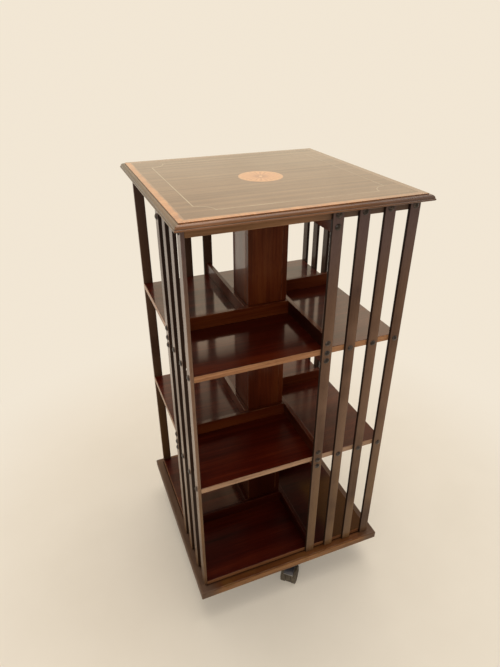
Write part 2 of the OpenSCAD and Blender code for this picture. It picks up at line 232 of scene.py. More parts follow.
class Look:
    """A board's colour, roughness and share of polish so far; each wear, painted shade and painted light
    changes them in turn.
    """

    def __init__(self, f, colour, roughness, polish):
        self.f = f
        self.colour = colour
        self.roughness = roughness
        self.polish = polish

    def tint(self, share, tone):
        self.colour = self.f.blend(share, self.colour, tone)

    def roughen(self, amount):
        self.roughness = self.roughness + amount

    def dull(self, share):
        self.polish = self.polish * (1.0 - share)


def figure_noise(f, grain, lengthwise, crosswise, detail):
    """Noise with so many waves to the metre along the grain and across it."""
    along, across, depth = grain
    return f.noise(f.join(along * lengthwise, across * crosswise, depth * crosswise), detail=detail)


def grain_lines(f, grain, band_scale):
    """Three layers of figure along the first axis of grain, bent by a slow drift: broad bands, fine streaks
    and open pores."""
    along, across, depth = f.split(grain)
    drift = figure_noise(f, (along, across, depth), 2.2, 7.0, 2.0) - 0.5
    bent = along, across + drift * GRAIN_WANDER, depth
    bands = figure_noise(f, bent, 1.6, band_scale, 4.0)
    streaks = figure_noise(f, bent, 9.0, 420.0, 3.0)
    pores = figure_noise(f, bent, 70.0, 1700.0, 1.0).ramp(0.58, 0.70)
    return bands, streaks, pores


def edge_gaps(f):
    """Distances to the nearest arris of a board, which is the middle one of the three to its faces, and to
    its nearest upright face."""
    gaps = f.vector("SUBTRACT", f.attribute("half"), f.vector("ABSOLUTE", f.attribute("place")))
    x, y, z = f.split(gaps)
    return x.least(y).most(x.most(y).least(z)), x.least(y)


def moulded_rim(look, figure, shaded_grey, browned):
    """The moulding round the top's field: a greyer painted shade on the left and back sides, lit brown tones
    on the other two, painted shade in the nick over the bead, and painted shade greying it to the right."""
    f = look.f
    x, y, z = f.split(f.object_place())
    # the left and back sides take the painted shaded grey tones, the front and right the lit brown ones
    sides = [f.ramp_colour(figure, [(0.34, dark), (0.62, light)]) for dark, light in (shaded_grey, browned)]
    moulding = f.blend((x - y).ramp(-0.3 * MM, 0.3 * MM), *sides)
    nick_shade = abs(z - (TOP_UNDER + 2 * BEAD)).ramp(0.9 * MM, 0.3 * MM)
    # painted shade in the nick over the bead
    moulding = f.blend(nick_shade * 0.7, moulding, shaded_grey[0])
    # painted shade, greyer and darker towards the right
    moulding = f.blend(x.ramp(0.06, 0.22) * 0.65, moulding, MOULDING_RIGHT_SHADE)
    outside = abs(x).most(abs(y)).ramp(FIELD - 0.3 * MM, FIELD + 0.1 * MM)
    look.tint(outside, moulding)
    look.roughen(outside * 0.06)
    look.dull(outside * 0.35)


def zone(*ramps, loss=0.0, share=0.0, tone=NEAR_BLACK):
    """A zone of thinner varnish and a tint, the product of ramps of (axis, start, full) in the object's
    frame:
    the share of the polish that is lost in it, and the share and tone of its tint, painted shade where it
    darkens."""
    return ramps, loss, share, tone


def apply_varnish_shade_and_tint(look, zones):
    """Thinner varnish and another tint in each zone; the darkening tints are painted shade."""
    f = look.f
    for ramps, loss, share, tone in zones:
        within = 1.0
        for axis, start, full in ramps:
            within = f.split(f.object_place())[axis].ramp(start, full) * within
        if loss:
            look.dull(within * loss)
        if share:
            look.tint(within * within * share, tone)


def slat_tones_and_back_shade(look, clouds, lower_tone):
    """A slat's face: greyer at the top, paler lower down, browner at the foot, painted shade on its inner
    face.
    """
    f = look.f
    x, y, height = f.split(f.attribute("place"))
    reach, depth, _ = f.split(f.attribute("half"))
    look.tint(height.ramp(0.22, 0.40) * 0.8, SLAT_TOP)
    foot = height.ramp(0.06, -0.32) * 0.9
    paler_low = (1.0 - height.ramp(0.12, 0.46)) * (0.75 + 0.25 * x / reach) * clouds.ramp(0.22, 0.55)
    look.tint(paler_low, f.blend(foot, lower_tone, SLAT_FOOT))
    # painted shade on the inner face
    back_shade = 1.0 - (depth - y).ramp(0.3 * MM, 0.9 * MM)
    look.tint(back_shade * 0.60, SLAT_BACK_SHADE)
    look.dull(back_shade.most(foot) * 0.5)


def shaded_slat_sides(look):
    """Painted shade on a slat's left side, and on its right side unless it stands at the case's corner."""
    f = look.f
    x = f.split(f.attribute("place"))[X]
    reach = f.split(f.attribute("half"))[X]
    across, along, _ = f.split(f.vector("ABSOLUTE", f.object_place()))
    sheltered = across.least(along).ramp(CASE - 8.0 * MM, CASE - 14.0 * MM)
    right = (reach - x).ramp(1.3 * MM, 0.4 * MM) * sheltered
    # painted shade along the narrow sides
    side_shade = (reach + x).ramp(1.3 * MM, 0.4 * MM).most(right)
    look.tint(side_shade * 0.9, SLAT_SIDE_SHADE)
    look.dull(side_shade * 0.7)


def rubbed_and_lit_edges(look, bands, streaks, worn, worn_width, worn_share, edge):
    """Arrises rubbed lighter in patches and, on a board with edge tones, a paler, duller upright edge:
    painted light, as on a lit face.
    """
    f = look.f
    gap, side = edge_gaps(f)
    if edge:
        # painted light: the upright edge paler, as a lit face
        upright = 1.0 - side.ramp(0.2 * MM, 0.9 * MM)
        dark, light = edge
        look.tint(upright, f.ramp_colour(streaks * 0.5 + bands * 0.5, [(0.36, dark), (0.64, light)]))
        look.roughen(upright * 0.10)
        look.dull(upright * 0.45)
    patches = f.noise(f.object_place(), scale=38.0, detail=4.0).ramp(0.38, 0.66)
    rubbed = (1.0 - gap.ramp(0.0, worn_width)) * patches * worn_share
    look.tint(rubbed, worn)
    look.roughen(rubbed * 0.12)


def stained_and_shaded_base(look, shaded_grey, stained):
    """The base board: stains, painted shade greying its ends, and a line of painted shade where the bottom
    shelf stands on it.
    """
    f = look.f
    x, y, _ = f.split(f.object_place())
    stains = f.noise(f.object_place(), scale=26.0, detail=3.0)
    look.tint(stains.ramp(0.50, 0.64) * 0.55, stained)
    # painted shade: the ends greyer, darker and duller
    end_shade = abs(x).ramp(CASE - 39.0 * MM, CASE + 5.0 * MM)
    look.tint(end_shade * 0.88, shaded_grey)
    look.dull(end_shade * 0.6)
    # painted shade in the crease where the bottom shelf stands
    crease_shade = (abs(x).most(abs(y)) - CASE).ramp(5.0 * MM, 1.0 * MM)
    look.tint(crease_shade * 0.8, CREASE_SHADE)
    look.dull(crease_shade * 0.8)


def wood(name, tones, band_scale=38.0, rough=(0.30, 0.44), coat=(0.80, 1.0), coat_rough=0.10, ripple=1.0,
         own_grain=True, rim=None, varnish_shade_and_tint=(), lower_tone=None, worn=None, worn_width=2.0 * MM, worn_share=0.5,
         edge=None, stains_and_shade=None):
    """Polished wood: a dark, a middle and a pale tone in bands, streaks and pores, under a varnish that thins
    in patches. The options from rim on bring in the wear, painted shade and painted light above."""
    material, f = new_finish(name)
    grain = f.attribute("grain") if own_grain else f.object_place()
    bands, streaks, pores = grain_lines(f, grain, band_scale)
    clouds = f.noise(grain, scale=5.0, detail=3.0)
    figure = bands * 0.55 + streaks * 0.25 + clouds * 0.20
    look = Look(f, colour=f.ramp_colour(figure, list(zip(TONE_PLACES, tones))),
                roughness=rough[0] + (rough[1] - rough[0]) * streaks + pores * 0.08,
                polish=coat[0] + (coat[1] - coat[0]) * clouds.ramp(0.32, 0.55))
    if rim:
        moulded_rim(look, figure, *rim)
    apply_varnish_shade_and_tint(look, varnish_shade_and_tint)
    if lower_tone:
        slat_tones_and_back_shade(look, clouds, lower_tone)
    if worn:
        rubbed_and_lit_edges(look, bands, streaks, worn, worn_width, worn_share, edge)
    if stains_and_shade:
        stained_and_shaded_base(look, *stains_and_shade)
    if lower_tone:
        shaded_slat_sides(look)
    look.tint(pores * 0.45, tones[0])
    uneven = f.noise(grain, scale=9.0, detail=1.0) * ripple - pores * 0.04 + streaks * 0.03
    f.surface(Base_Color=look.colour, Roughness=look.roughness, Specular_IOR_Level=0.12,
              Coat_Weight=look.polish, Coat_Roughness=coat_rough, Coat_IOR=1.46,
              Normal=f.bump(uneven, 0.35, 0.6 * MM))
    return material


# Inlay, buttons, metal and castors

def satinwood_band(inner):
    """Crossbanding: short silky streaks across the strip, mitre lines at the corners, an uneven brown
    staining along its inner edge, painted shade browning it to the right, and the strips on the two far sides
    browned nearly to the tone of the field."""
    browned, mitre_line = (0.205, 0.108, 0.052), (0.16, 0.06, 0.02)
    material, f = new_finish("satinwood_crossband")
    along, across, depth = f.split(f.attribute("grain"))
    silk = f.noise(f.join(along * 30.0, across * 260.0, depth * 40.0), detail=3.0)
    broad = f.noise(f.join(along * 6.0, across * 22.0, depth * 6.0), detail=3.0)
    colour = f.ramp_colour(silk * 0.55 + broad * 0.45, [
        (0.34, (0.31, 0.105, 0.028)), (0.5, (0.48, 0.185, 0.052)), (0.68, (0.64, 0.285, 0.095))])
    x, y, _ = f.split(f.object_place())
    far_sides = (x.most(y) - (0.0 - x).most(0.0 - y)).ramp(-0.3 * MM, 0.3 * MM)
    colour = f.blend(far_sides * (0.70 + 0.25 * broad), colour, browned)
    inset = abs(x).most(abs(y)) - inner + (broad - 0.5) * 9.0 * MM
    stain_and_shade = inset.ramp(4.0 * MM, 0.5 * MM) * 0.85
    # brown staining along the inner edge, and painted shade browning it to the right
    colour = f.blend(stain_and_shade.most(x.ramp(-0.05, 0.22) * 0.6), colour, browned)
    mitre = 1.0 - abs(abs(x) - abs(y)).ramp(0.15 * MM, 0.7 * MM)
    colour = f.blend(mitre * 0.6, colour, mitre_line)
    f.surface(Base_Color=colour, Roughness=0.30 + 0.14 * silk, Coat_Weight=0.85 + 0.15 * broad,
              Coat_Roughness=0.05, Coat_IOR=1.52, Normal=f.bump(silk, 0.15, 0.1 * MM))
    return material


def satinwood_fan(radius, petals=20):
    """The round patera: a ring of fan petals, each shaded on one side and towards the middle, scalloped
    outside, with a dark line round it and a spot in the middle."""
    scorched, line_brown, spot_pale = (0.33, 0.10, 0.03), (0.20, 0.065, 0.020), (0.80, 0.44, 0.19)
    material, f = new_finish("satinwood_fan")
    x, y, z = f.split(f.object_place())
    r = f.node("ShaderNodeVectorMath", {"operation": "LENGTH"}, {0: f.join(x, y, 0.0)}, out="Value") / radius
    angle = f.node("ShaderNodeMath", {"operation": "ARCTAN2"}, {0: y, 1: x}) * (petals / math.tau)
    phase = (angle + petals).fract()
    middle = abs(phase - 0.5) * 2.0
    tip = 0.80 + 0.10 * (1.0 - middle * middle)
    inside = 1.0 - r.ramp(tip - 0.012, tip + 0.012)
    silk = f.noise(f.join(r * 12.0, phase * 9.0, angle * 3.0), detail=3.0)
    ground = f.noise(f.join(x * 40.0, y * 500.0, z), detail=3.0)
    petal = f.ramp_colour(silk, [(0.30, (0.52, 0.195, 0.058)), (0.70, (0.78, 0.370, 0.145))])
    scorch = (phase.ramp(0.35, 0.98) * 0.55 + (1.0 - r.ramp(0.16, 0.48)) * 0.55) * inside
    petal = f.blend(scorch.least(0.8), petal, scorched)
    field = f.ramp_colour(ground, [(0.30, (0.52, 0.205, 0.064)), (0.70, (0.70, 0.335, 0.125))])
    colour = f.blend(inside, field, petal)
    lines = middle.ramp(0.90, 0.99) * inside
    rim = r.ramp(0.955, 0.965) * (1.0 - r.ramp(0.978, 0.985))
    tips = 1.0 - abs(r - tip).ramp(0.004, 0.016)
    spot_ring = 1.0 - abs(r - 0.13).ramp(0.008, 0.022)
    dark = lines.most(rim).most(tips * 0.8).most(spot_ring)
    colour = f.blend(dark * 0.45, colour, line_brown)
    colour = f.blend(1.0 - r.ramp(0.06, 0.10), colour, spot_pale)
    f.surface(Base_Color=colour, Roughness=0.28 + 0.14 * silk, Coat_Weight=0.9 + 0.1 * ground,
              Coat_Roughness=0.05, Coat_IOR=1.52, Normal=f.bump(silk - dark * 0.5, 0.12, 0.1 * MM))
    return material


def boxwood_line():
    """Stringing: close pale wood, a little dirty in places, with painted shade darkening it to the right."""
    right_shade = (0.215, 0.118, 0.060)
    material, f = new_finish("boxwood_line")
    place = f.object_place()
    fine = f.noise(place, scale=240.0, detail=2.0)
    broad = f.noise(place, scale=14.0, detail=3.0)
    colour = f.ramp_colour(fine * 0.4 + broad * 0.6, [
        (0.34, (0.25, 0.175, 0.100)), (0.52, (0.42, 0.320, 0.200)), (0.70, (0.58, 0.470, 0.320))])
    # painted shade darkening it to the right
    colour = f.blend(f.split(place)[X].ramp(-0.06, 0.14) * 0.6, colour, right_shade)
    f.surface(Base_Color=colour, Roughness=0.30 + 0.2 * fine, Coat_Weight=0.85 + 0.15 * broad,
              Coat_Roughness=0.05, Coat_IOR=1.52, Normal=f.bump(fine, 0.1, 0.05 * MM))
    return material


def ebonised():
    """Turned buttons: blackened wood, brown where it is rubbed through, with a finely pitted skin."""
    blackened, rubbed_brown = (0.028, 0.0215, 0.0185), (0.13, 0.090, 0.068)
    material, f = new_finish("ebonised_button")
    place = f.object_place()
    rub = f.noise(place, scale=150.0, detail=4.0).ramp(0.44, 0.66)
    speck = f.noise(place, scale=900.0, detail=2.0)
    colour = f.blend(rub * 0.7, blackened, rubbed_brown)
    f.surface(Base_Color=colour, Roughness=0.30 + 0.22 * rub + 0.12 * speck, Specular_IOR_Level=0.3,
              Coat_Weight=0.40 - 0.25 * rub, Coat_Roughness=0.18, Normal=f.bump(speck, 0.25, 0.08 * MM))
    return material


def metal(name, dark, light, metallic, rough, tarnish):
    """Blackened iron or dull bronze: a mottled skin, bare in places, with a cast texture and rusty pits."""
    rust = (0.10, 0.05, 0.03)
    material, f = new_finish(name)
    place = f.object_place()
    mottle = f.noise(place, scale=60.0, detail=5.0)
    pits = f.noise(place, scale=520.0, detail=3.0)
    bare = mottle.ramp(0.46, 0.62)
    colour = f.blend(bare, dark, light)
    colour = f.blend(pits.ramp(0.60, 0.72) * tarnish, colour, rust)
    f.surface(Base_Color=colour, Metallic=metallic * (0.55 + 0.45 * bare),
              Roughness=rough + 0.22 * pits - 0.08 * bare,
              Normal=f.bump(pits + mottle * 0.5, 0.25, 0.15 * MM))
    return material


def castor_shell(name, deep, light, rough, scuff, lip_highlight=None):
    """Moulded castor: fine moulding texture, dust in patches, pale scuffs, and on a hood a painted highlight
    round its edge at a given height, on the side of the axle that faces away from the swivel."""
    scuff_pale, lip_highlight_tone = (0.42, 0.40, 0.38), (0.52, 0.47, 0.39)
    material, f = new_finish(name)
    place = f.object_place()
    fine = f.noise(place, scale=1400.0, detail=2.0)
    dust = f.noise(place, scale=70.0, detail=4.0)
    marks = f.noise(f.vector("MULTIPLY", place, (300.0, 300.0, 900.0)), detail=2.0).ramp(0.62, 0.74)
    colour = f.blend(dust.ramp(0.40, 0.66), deep, light)
    colour = f.blend(marks * scuff, colour, scuff_pale)
    if lip_highlight:
        x, y, z = f.split(place)
        height, axle, ahead = lip_highlight
        trailing = ((x - axle[X]) * ahead[X] + (y - axle[Y]) * ahead[Y]).ramp(0.0, -4.0 * MM)
        # painted highlight round the hood's edge
        colour = f.blend(abs(z - height).ramp(2.0 * MM, 1.0 * MM) * trailing, colour, lip_highlight_tone)
    f.surface(Base_Color=colour, Roughness=rough + 0.18 * dust + 0.12 * marks,
              Normal=f.bump(fine * 0.5 + marks, 0.15, 0.06 * MM))
    return material


# The finishes of this bookcase

POLISHED = ((0.032, 0.0040, 0.0008), (0.092, 0.0130, 0.0022), (0.180, 0.0420, 0.0085))
POLISHED_WORN = (0.26, 0.100, 0.038)
# the rail face beside the column, darkened by painted shade in the rail finishes
RAIL_SHADED_FACE = ((X, COLUMN + 1.4 * MM, COLUMN + 0.4 * MM), (Y, -COLUMN - 11.0 * MM, -COLUMN - 15.0 * MM))
mahogany = wood("mahogany_polished", POLISHED, worn=POLISHED_WORN)
# painted shade on that rail face, darkest on the upper rails
mahogany_upper_rail = wood("mahogany_upper_rail", POLISHED, coat=(0.3, 0.5), worn=POLISHED_WORN,
                           varnish_shade_and_tint=[zone(*RAIL_SHADED_FACE, loss=0.75, share=0.92)])
mahogany_lower_rail = wood("mahogany_lower_rail", POLISHED, worn=POLISHED_WORN,
                           varnish_shade_and_tint=[zone(*RAIL_SHADED_FACE, loss=0.40, share=0.5)])
# painted shade: a darker copy of the polished mahogany for the bottom rails
mahogany_low = wood(
    "mahogany_low", ((0.010, 0.0008, 0.0003), (0.032, 0.0028, 0.0006), (0.076, 0.0110, 0.0024)),
    coat=(0.08, 0.22), coat_rough=0.22, worn=(0.13, 0.045, 0.016), worn_share=0.3,
    varnish_shade_and_tint=[zone(*RAIL_SHADED_FACE, loss=0.6, share=0.4)])

COLUMN_TONES = ((0.036, 0.0045, 0.0008), (0.096, 0.0150, 0.0026), (0.185, 0.0460, 0.0095))
COLUMN_WEAR = {"band_scale": 24.0, "worn": (0.26, 0.095, 0.034), "worn_share": 0.3}
# painted shade: the column darker and duller towards its foot
COLUMN_FOOT_SHADE = zone((Z, 0.62, 0.30), loss=0.75, share=0.8)
# painted shade on the left panel below the top tier
COLUMN_LOWER_SHADE = zone((Z, 0.82, 0.77), loss=0.7, share=0.2)
mahogany_column = wood("mahogany_column", COLUMN_TONES, coat=(0.6, 0.9), coat_rough=0.16,
                       varnish_shade_and_tint=[COLUMN_FOOT_SHADE], **COLUMN_WEAR)
mahogany_column_left = wood("mahogany_column_left", COLUMN_TONES, coat=(0.9, 1.0), coat_rough=0.05,
                            ripple=0.5, varnish_shade_and_tint=[COLUMN_LOWER_SHADE, COLUMN_FOOT_SHADE], **COLUMN_WEAR)

SHELF_WORN = (0.40, 0.20, 0.095)
LEFT_OF_RAIL = (X, COLUMN + 7.0 * MM, COLUMN + 1.0 * MM)
FRONT_HALF = (Y, 0.02, -0.05)
# the edge tones of the shelves and the bottom shelf paint light on their upright edges
mahogany_shelf = wood(
    "mahogany_shelf", ((0.018, 0.0012, 0.0003), (0.060, 0.0045, 0.0008), (0.135, 0.0200, 0.0040)),
    coat_rough=0.09, worn=SHELF_WORN, edge=((0.25, 0.105, 0.045), (0.50, 0.250, 0.120)),
    varnish_shade_and_tint=[zone((X, -0.03, 0.0), LEFT_OF_RAIL, (Y, -0.05, -0.08), loss=0.45),
           zone(LEFT_OF_RAIL, (Y, -0.10, -0.18), loss=0.65)])
mahogany_shelf_dull = wood(
    "mahogany_shelf_dull", ((0.020, 0.0013, 0.0003), (0.068, 0.0050, 0.0008), (0.155, 0.0230, 0.0042)),
    coat=(0.62, 0.95), coat_rough=0.14, worn=SHELF_WORN, edge=((0.25, 0.135, 0.075), (0.50, 0.305, 0.185)),
    varnish_shade_and_tint=[zone((X, 0.07, 0.03), loss=0.45),
           # the lower shelf is paler towards the right front
           zone((X, 0.05, 0.10), FRONT_HALF, share=0.35, tone=(0.150, 0.068, 0.042))])
# painted shade: a darker copy of the shelf mahogany for the bottom shelf
mahogany_floor = wood(
    "mahogany_floor", ((0.012, 0.0008, 0.0003), (0.044, 0.0028, 0.0006), (0.100, 0.0125, 0.0026)),
    coat=(0.24, 0.48), coat_rough=0.26, worn=(0.20, 0.075, 0.028), worn_share=0.35,
    edge=((0.13, 0.046, 0.016), (0.30, 0.130, 0.052)),
    # painted shade darkens the right half; the right front is tinted orange
    varnish_shade_and_tint=[zone((X, 0.0, 0.06), loss=0.92, share=0.45),
           zone((X, 0.088, 0.135), FRONT_HALF, share=0.75, tone=(0.080, 0.030, 0.002))])

mahogany_top = wood(
    "mahogany_top", ((0.130, 0.064, 0.030), (0.205, 0.110, 0.055), (0.300, 0.175, 0.092)),
    band_scale=70.0, coat=(0.92, 1.0), coat_rough=0.05, ripple=0.5,
    # rim: the painted shaded grey tones of the left and back sides, then the lit brown tones
    rim=(((0.044, 0.0250, 0.0135), (0.190, 0.1180, 0.0680)),
         ((0.070, 0.0270, 0.0110), (0.290, 0.1350, 0.0660))))
mahogany_frieze = wood(
    "mahogany_frieze", ((0.085, 0.0360, 0.0150), (0.205, 0.0980, 0.0440), (0.340, 0.1750, 0.0850)),
    coat=(0.55, 0.85), worn=(0.36, 0.18, 0.075),
    # painted shade: the frieze greyer and duller to the right
    varnish_shade_and_tint=[zone((X, -0.12, 0.10), loss=0.75, share=0.9, tone=(0.115, 0.077, 0.060))])
mahogany_slat = wood(
    "mahogany_slat", ((0.043, 0.0185, 0.0110), (0.080, 0.0390, 0.0240), (0.128, 0.0690, 0.0440)),
    band_scale=90.0, rough=(0.36, 0.52), coat=(0.35, 0.75), coat_rough=0.16, lower_tone=(0.215, 0.120, 0.074),
    worn=(0.26, 0.155, 0.100), worn_width=2.5 * MM, worn_share=0.45)
mahogany_base = wood(
    "mahogany_base", ((0.052, 0.0140, 0.0032), (0.118, 0.0370, 0.0092), (0.205, 0.0790, 0.0250)),
    coat=(0.15, 0.42), worn=(0.28, 0.118, 0.036), worn_width=6.0 * MM,
    # painted light: the paler tones of the base's upright nose
    edge=((0.14, 0.056, 0.016), (0.36, 0.168, 0.060)),
    # the painted shade grey of the ends, then the colour of the stains
    stains_and_shade=((0.116, 0.070, 0.046), (0.150, 0.066, 0.014)))
stand_wood = wood(
    "mahogany_stand", ((0.030, 0.0095, 0.0040), (0.066, 0.0220, 0.0085), (0.110, 0.0420, 0.0180)),
    own_grain=False, coat=(0.2, 0.6), rough=(0.42, 0.60))
hidden_wood = wood(
    "mahogany_inner", ((0.026, 0.0035, 0.0008), (0.072, 0.0110, 0.0022), (0.140, 0.0340, 0.0080)),
    own_grain=False)

crossband = satinwood_band(FIELD - BAND)
fan = satinwood_fan(PATERA_R)
stringing = boxwood_line()
button_black = ebonised()
iron = metal("iron_blackened", (0.020, 0.020, 0.022), (0.11, 0.11, 0.115),
             metallic=0.8, rough=0.42, tarnish=0.5)
bronze = metal("bronze_dull", (0.16, 0.095, 0.035), (0.46, 0.31, 0.13),
               metallic=0.95, rough=0.36, tarnish=0.3)
wheel_brown = castor_shell("castor_wheel_brown", (0.066, 0.050, 0.032), (0.130, 0.104, 0.070),
                           rough=0.50, scuff=0.25)


# Shapes

WELD = 0.002 * MM
SIDE_SHIFT = 1.7


def grid_faces(rows, columns, closed_rows, closed_columns):
    """Quads of a grid of points, wrapping round in either direction."""
    i = np.arange(rows if closed_rows else rows - 1)[:, None]
    j = np.arange(columns if closed_columns else columns - 1)[None, :]
    i1, j1 = (i + 1) % rows, (j + 1) % columns
    quads = [i * columns + j, i * columns + j1, i1 * columns + j1, i1 * columns + j]
    return np.stack(np.broadcast_arrays(*quads), -1).reshape(-1, 4)


def bend(x, z, radius, start, stop, steps, hollow=False):
    """An arc of a profile about (x, z), from one angle to another in degrees: its points, and its normals,
    which face away from the centre or, on a hollow, towards it."""
    a = np.radians(np.linspace(start, stop, steps + 1))
    way = np.stack([np.cos(a), np.sin(a)], -1)
    return np.array([x, z]) + radius * way, -way if hollow else way


def corner(x, z, facing):
    """A sharp point of a profile, whose normal has the angle facing."""
    return bend(x, z, 0.0, facing, facing, 1)


def outline(*arcs):
    """Arcs one after the other, joined by straight lines."""
    return np.concatenate([a[0] for a in arcs]), np.concatenate([a[1] for a in arcs])


def lifted(plan, heights):
    """Rows of points in plan, each row at its own height."""
    return np.concatenate([plan, np.broadcast_to(heights[:, None, None], plan.shape[:2] + (1,))], -1)


def four_quarters(steps):
    """Angles round a circle, quarter by quarter with both ends of each, and the signs of X and Y on them."""
    quarter = np.linspace(0.0, math.pi / 2, steps + 1)
    lon = np.concatenate([quarter + k * math.pi / 2 for k in range(4)])
    east = np.repeat([1.0, -1.0, -1.0, 1.0], steps + 1)
    north = np.repeat([1.0, 1.0, -1.0, -1.0], steps + 1)
    return lon, east, north


def board_marks(points, low, high, along):
    """Values the wood reads: place from the board's middle, half its size, and the grain's own coordinates,
    shifted for each board so that no two have the same figure."""
    middle, half = (low + high) / 2, (high - low) / 2
    place = points - middle
    order = [along] + [axis for axis in (X, Y, Z) if axis != along]
    return {"place": place, "half": np.broadcast_to(half, points.shape),
            "grain": place[:, order] + chance.uniform(-3.0, 3.0, 3)}


def softened(low, high, soft, along, steps=4):
    """A board with softened arrises, as a ball of radius soft pulled apart along the three axes:
    p = middle + sign(n) (half - soft) + soft n, for the unit normals n of the ball, octant by octant."""
    low, high = np.asarray(low, float), np.asarray(high, float)
    lon, east, north = four_quarters(steps)
    quarter = np.linspace(0.0, math.pi / 2, steps + 1)
    lat = np.concatenate([quarter - math.pi / 2, quarter])[:, None]
    up = np.repeat([-1.0, 1.0], steps + 1)[:, None]
    n = np.stack(np.broadcast_arrays(np.cos(lat) * np.cos(lon), np.cos(lat) * np.sin(lon), np.sin(lat)), -1)
    sign = np.stack(np.broadcast_arrays(east, north, up), -1)
    points = ((low + high) / 2 + sign * ((high - low) / 2 - soft) + soft * n).reshape(-1, 3)
    rows, columns = n.shape[:2]
    cap = np.arange(4) * (steps + 1)
    caps = np.stack([cap[::-1], cap + (rows - 1) * columns])
    faces = np.concatenate([grid_faces(rows, columns, False, True), caps])
    return {"points": points, "normals": n.reshape(-1, 3), "faces": faces,
            **board_marks(points, low, high, along)}


def round_square(profile, radius, closed, mitred=None, steps=4):
    """A profile of (half width, height) carried round a square with rounded corners:
    p = sign(m) (h - c) + c m in plan, for the unit directions m, with c the lesser of radius and h.
    Rows that mitred picks have their grain along each side, the others along X."""
    (h, z), (nh, nz) = profile[0].T, profile[1].T
    lon, east, north = four_quarters(steps)
    m = np.stack([np.cos(lon), np.sin(lon)], -1)
    c = np.minimum(radius, h)[:, None, None]
    plan = np.stack([east, north], -1) * (h[:, None, None] - c) + c * m
    points = lifted(plan, z)
    normals = lifted(nh[:, None, None] * m, nz)
    rows, columns = points.shape[:2]
    faces = grid_faces(rows, columns, closed, True)[:, ::-1]
    flat = points.reshape(-1, 3)
    marks = board_marks(flat, flat.min(0), flat.max(0), X)
    if mitred is not None:
        sideways = np.abs(m[:, X]) > np.abs(m[:, Y])
        side = np.where(sideways, plan[..., Y], plan[..., X])
        turn = np.round(lon / (math.pi / 2)) % 4
        reach = np.broadcast_to(h[:, None], side.shape)
        level = np.broadcast_to(z[:, None], side.shape)
        own = np.stack([side + SIDE_SHIFT * turn, reach, level], -1)
        grain = marks["grain"].reshape(rows, columns, 3).copy()
        grain[mitred] = own[mitred]
        marks["grain"] = grain.reshape(-1, 3)
    return {"points": flat, "normals": normals.reshape(-1, 3), "faces": faces, **marks}


def turned(profile, steps):
    """A profile of (radius, height) turned about Z: p = (r cos a, r sin a, z)."""
    (r, z), (nr, nz) = profile[0].T, profile[1].T
    a = np.arange(steps) * math.tau / steps
    way = np.stack([np.cos(a), np.sin(a)], -1)
    points, normals = lifted(r[:, None, None] * way, z), lifted(nr[:, None, None] * way, nz)
    return {"points": points.reshape(-1, 3), "normals": normals.reshape(-1, 3),
            "faces": grid_faces(len(z), steps, False, True)}


def bent_bar(profile, start, stop, steps=20):
    """A closed profile of (radius, height) carried about Z from one angle to another,
    p = (r cos a, r sin a, z), and drawn in to the middle of the profile at both ends."""
    a = np.radians(np.linspace(start, stop, steps + 1))
    a = np.concatenate([a[:1], a, a[-1:]])[:, None]
    ring, normal = (np.repeat(part[None], len(a), 0) for part in profile)
    ring[[0, -1]] = (profile[0].min(0) + profile[0].max(0)) / 2
    points, normals = (np.stack([v[..., 0] * np.cos(a), v[..., 0] * np.sin(a), v[..., 1]], -1)
                       for v in (ring, normal))
    return {"points": points.reshape(-1, 3), "normals": normals.reshape(-1, 3),
            "faces": grid_faces(len(a), len(profile[0]), False, True)[:, ::-1]}


def moved(shape, matrix, shift=(0.0, 0.0, 0.0)):
    """The same shape turned by a 3 x 3 matrix and then shifted."""
    matrix = np.asarray(matrix, float)
    return {**shape, "points": shape["points"] @ matrix.T + np.asarray(shift, float),
            "normals": shape["normals"] @ matrix.T}


def quarter_turn(k):
    """From the front face to face k, clockwise seen from above."""
    s, c = ((0, 1), (-1, 0), (0, -1), (1, 0))[k]
    return np.array([[c, -s, 0], [s, c, 0], [0, 0, 1]], float)


def weld(points, faces, owner):
    """Points of one owner that lie together become one: which points stay, and the faces with what is left of
    their corners."""
    key = np.column_stack([np.round(points / WELD).astype(np.int64), owner])
    _, kept, back = np.unique(key, axis=0, return_index=True, return_inverse=True)
    distinct = [list(dict.fromkeys(face)) for face in back.ravel()[faces].tolist()]
    return kept, [face for face in distinct if len(face) > 2]


def piece(name, shapes, material, body, nodes):
    """One mesh of closed shapes, welded at seams and poles, with their own normals and wood values."""
    sizes = [len(s["points"]) for s in shapes]
    starts = np.cumsum([0] + sizes)
    points = np.concatenate([s["points"] for s in shapes])
    normals = np.concatenate([s["normals"] for s in shapes])
    faces = np.concatenate([s["faces"] + start for s, start in zip(shapes, starts)])
    kept, welded = weld(points, faces, np.repeat(np.arange(len(shapes)), sizes))
    mesh = bpy.data.meshes.new(name)
    mesh.from_pydata(points[kept].tolist(), [], welded)
    mesh.polygons.foreach_set("use_smooth", np.ones(len(mesh.polygons), bool))
    for mark in ("grain", "place", "half"):
        if mark in shapes[0]:
            values = np.concatenate([s[mark] for s in shapes])[kept]
            mesh.attributes.new(mark, "FLOAT_VECTOR", "POINT").data.foreach_set("vector", values.ravel())
    long = np.maximum(np.linalg.norm(normals[kept], axis=1, keepdims=True), 1e-9)
    mesh.normals_split_custom_set_from_vertices((normals[kept] / long).tolist())
    mesh.materials.append(material)
    made = bpy.data.objects.new(name, mesh)
    bpy.context.scene.collection.objects.link(made)
    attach(made, body)
    if nodes:
        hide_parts(*nodes)


# The top: field, crossband ledge, step, quarter round, nick and bead

